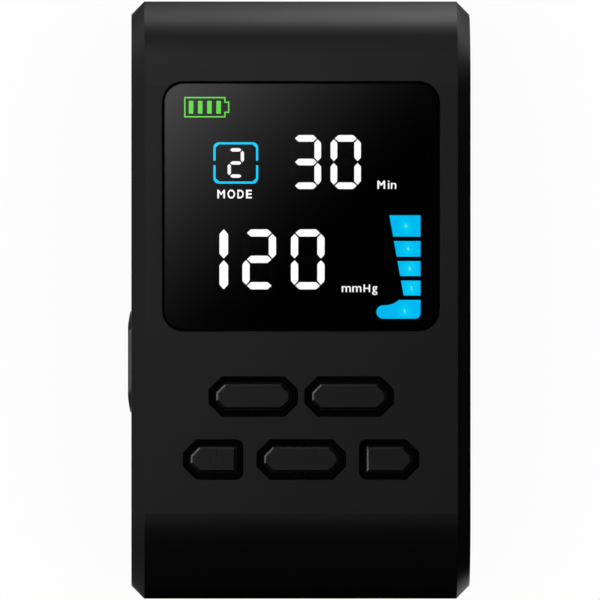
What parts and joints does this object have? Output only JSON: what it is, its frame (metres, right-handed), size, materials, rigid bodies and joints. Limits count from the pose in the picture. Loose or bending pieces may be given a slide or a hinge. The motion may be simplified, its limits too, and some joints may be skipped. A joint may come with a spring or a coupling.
{
  "type": "compression massager control unit",
  "caption": "Palm-size hand control unit of an air-pressure foot and leg massager: case, lit display, push keys, air pump, valves and hose socket.",
  "frame": {"origin": "on the surface the unit lies on, under the middle of the case", "axes": "+X to the right across the display, +Y towards the head end, +Z out of the display"},
  "size_m": [0.0869, 0.152, 0.0458],
  "materials": {
    "case_plastic": "satin, fine moulded texture",
    "key_plastic": "satin",
    "lens_smoke": "smoked, polished",
    "black_rubber": "matt silicone",
    "display_black": "matt",
    "white_light": "lit diffuser",
    "dim_light": "unlit diffuser",
    "cyan_light": "lit diffuser",
    "green_light": "lit diffuser",
    "blue_light": "lit diffuser",
    "clear_tape": "foam adhesive",
    "board_green": "solder mask",
    "board_black": "black solder mask",
    "steel": "zinc plated",
    "port_steel": "bright nickel",
    "motor_can": "plated",
    "pump_plastic": "glass-filled nylon",
    "rail_plastic": "natural nylon",
    "valve_body": "moulded",
    "silicone_clear": "translucent silicone",
    "cell_wrap": "wrapped can",
    "pack_wrap": "shrink film",
    "wire_red": "wire sleeve",
    "ribbon_white": "flat flexible cable",
    "foam_grey": "open-cell foam"
  },
  "bodies": {
    "controller": {"front_cover": "case_plastic", "rear_cover": "case_plastic", "case_screws": "steel", "display_lens": "lens_smoke", "lens_tape": "clear_tape", "display_housing": "display_black", "digit_segments": "white_light", "unlit_segments": "dim_light", "program_frame_segments": "cyan_light", "charge_segments": "green_light", "leg_segments": "blue_light", "main_board": "board_green", "key_board": "board_black", "board_screws": "steel", "key_ribbon": "ribbon_white", "keypad_mat": "black_rubber", "charge_port_shell": "port_steel", "charge_port_tongue": "display_black", "hose_socket": "case_plastic", "nozzle_plate": "case_plastic", "outlet_tubes": "silicone_clear", "air_rail": "rail_plastic", "pressure_sensor": "display_black", "sensor_tube": "silicone_clear", "buzzer": "display_black", "pump_motor": "motor_can", "pump_body": "pump_plastic", "pump_head": "pump_plastic", "pump_sleeve": "black_rubber", "pump_clamp": "steel", "clamp_screws": "steel", "pump_tube": "silicone_clear", "pump_lead": "wire_red", "intake_filter": "foam_grey", "battery_cell_left": "cell_wrap", "battery_cell_right": "cell_wrap", "battery_wrap": "pack_wrap", "battery_board": "board_green", "battery_lead": "wire_red", "rear_foot_1": "black_rubber", "rear_foot_2": "black_rubber", "rear_foot_3": "black_rubber", "rear_foot_4": "black_rubber", "chamber_valve_1": "valve_body", "chamber_valve_2": "valve_body", "chamber_valve_3": "valve_body", "chamber_valve_4": "valve_body", "chamber_valve_5": "valve_body"},
    "upper_left_key": {"key_cap_upper_left": "key_plastic", "key_plunger_upper_left": "black_rubber"},
    "upper_right_key": {"key_cap_upper_right": "key_plastic", "key_plunger_upper_right": "black_rubber"},
    "lower_left_key": {"key_cap_lower_left": "key_plastic", "key_plunger_lower_left": "black_rubber"},
    "lower_centre_key": {"key_cap_lower_centre": "key_plastic", "key_plunger_lower_centre": "black_rubber"},
    "lower_right_key": {"key_cap_lower_right": "key_plastic", "key_plunger_lower_right": "black_rubber"}
  },
  "joints": [
    {"name": "press_upper_left", "type": "slide", "parent": "controller", "child": "upper_left_key", "axis": [0, 0, -1], "range_m": [0, 0.00075], "stiffness_N_per_m": 300, "springref_m": -0.0005},
    {"name": "press_upper_right", "type": "slide", "parent": "controller", "child": "upper_right_key", "axis": [0, 0, -1], "range_m": [0, 0.00075], "stiffness_N_per_m": 300, "springref_m": -0.0005},
    {"name": "press_lower_left", "type": "slide", "parent": "controller", "child": "lower_left_key", "axis": [0, 0, -1], "range_m": [0, 0.00075], "stiffness_N_per_m": 300, "springref_m": -0.0005},
    {"name": "press_lower_centre", "type": "slide", "parent": "controller", "child": "lower_centre_key", "axis": [0, 0, -1], "range_m": [0, 0.00075], "stiffness_N_per_m": 300, "springref_m": -0.0005},
    {"name": "press_lower_right", "type": "slide", "parent": "controller", "child": "lower_right_key", "axis": [0, 0, -1], "range_m": [0, 0.00075], "stiffness_N_per_m": 300, "springref_m": -0.0005}
  ]
}
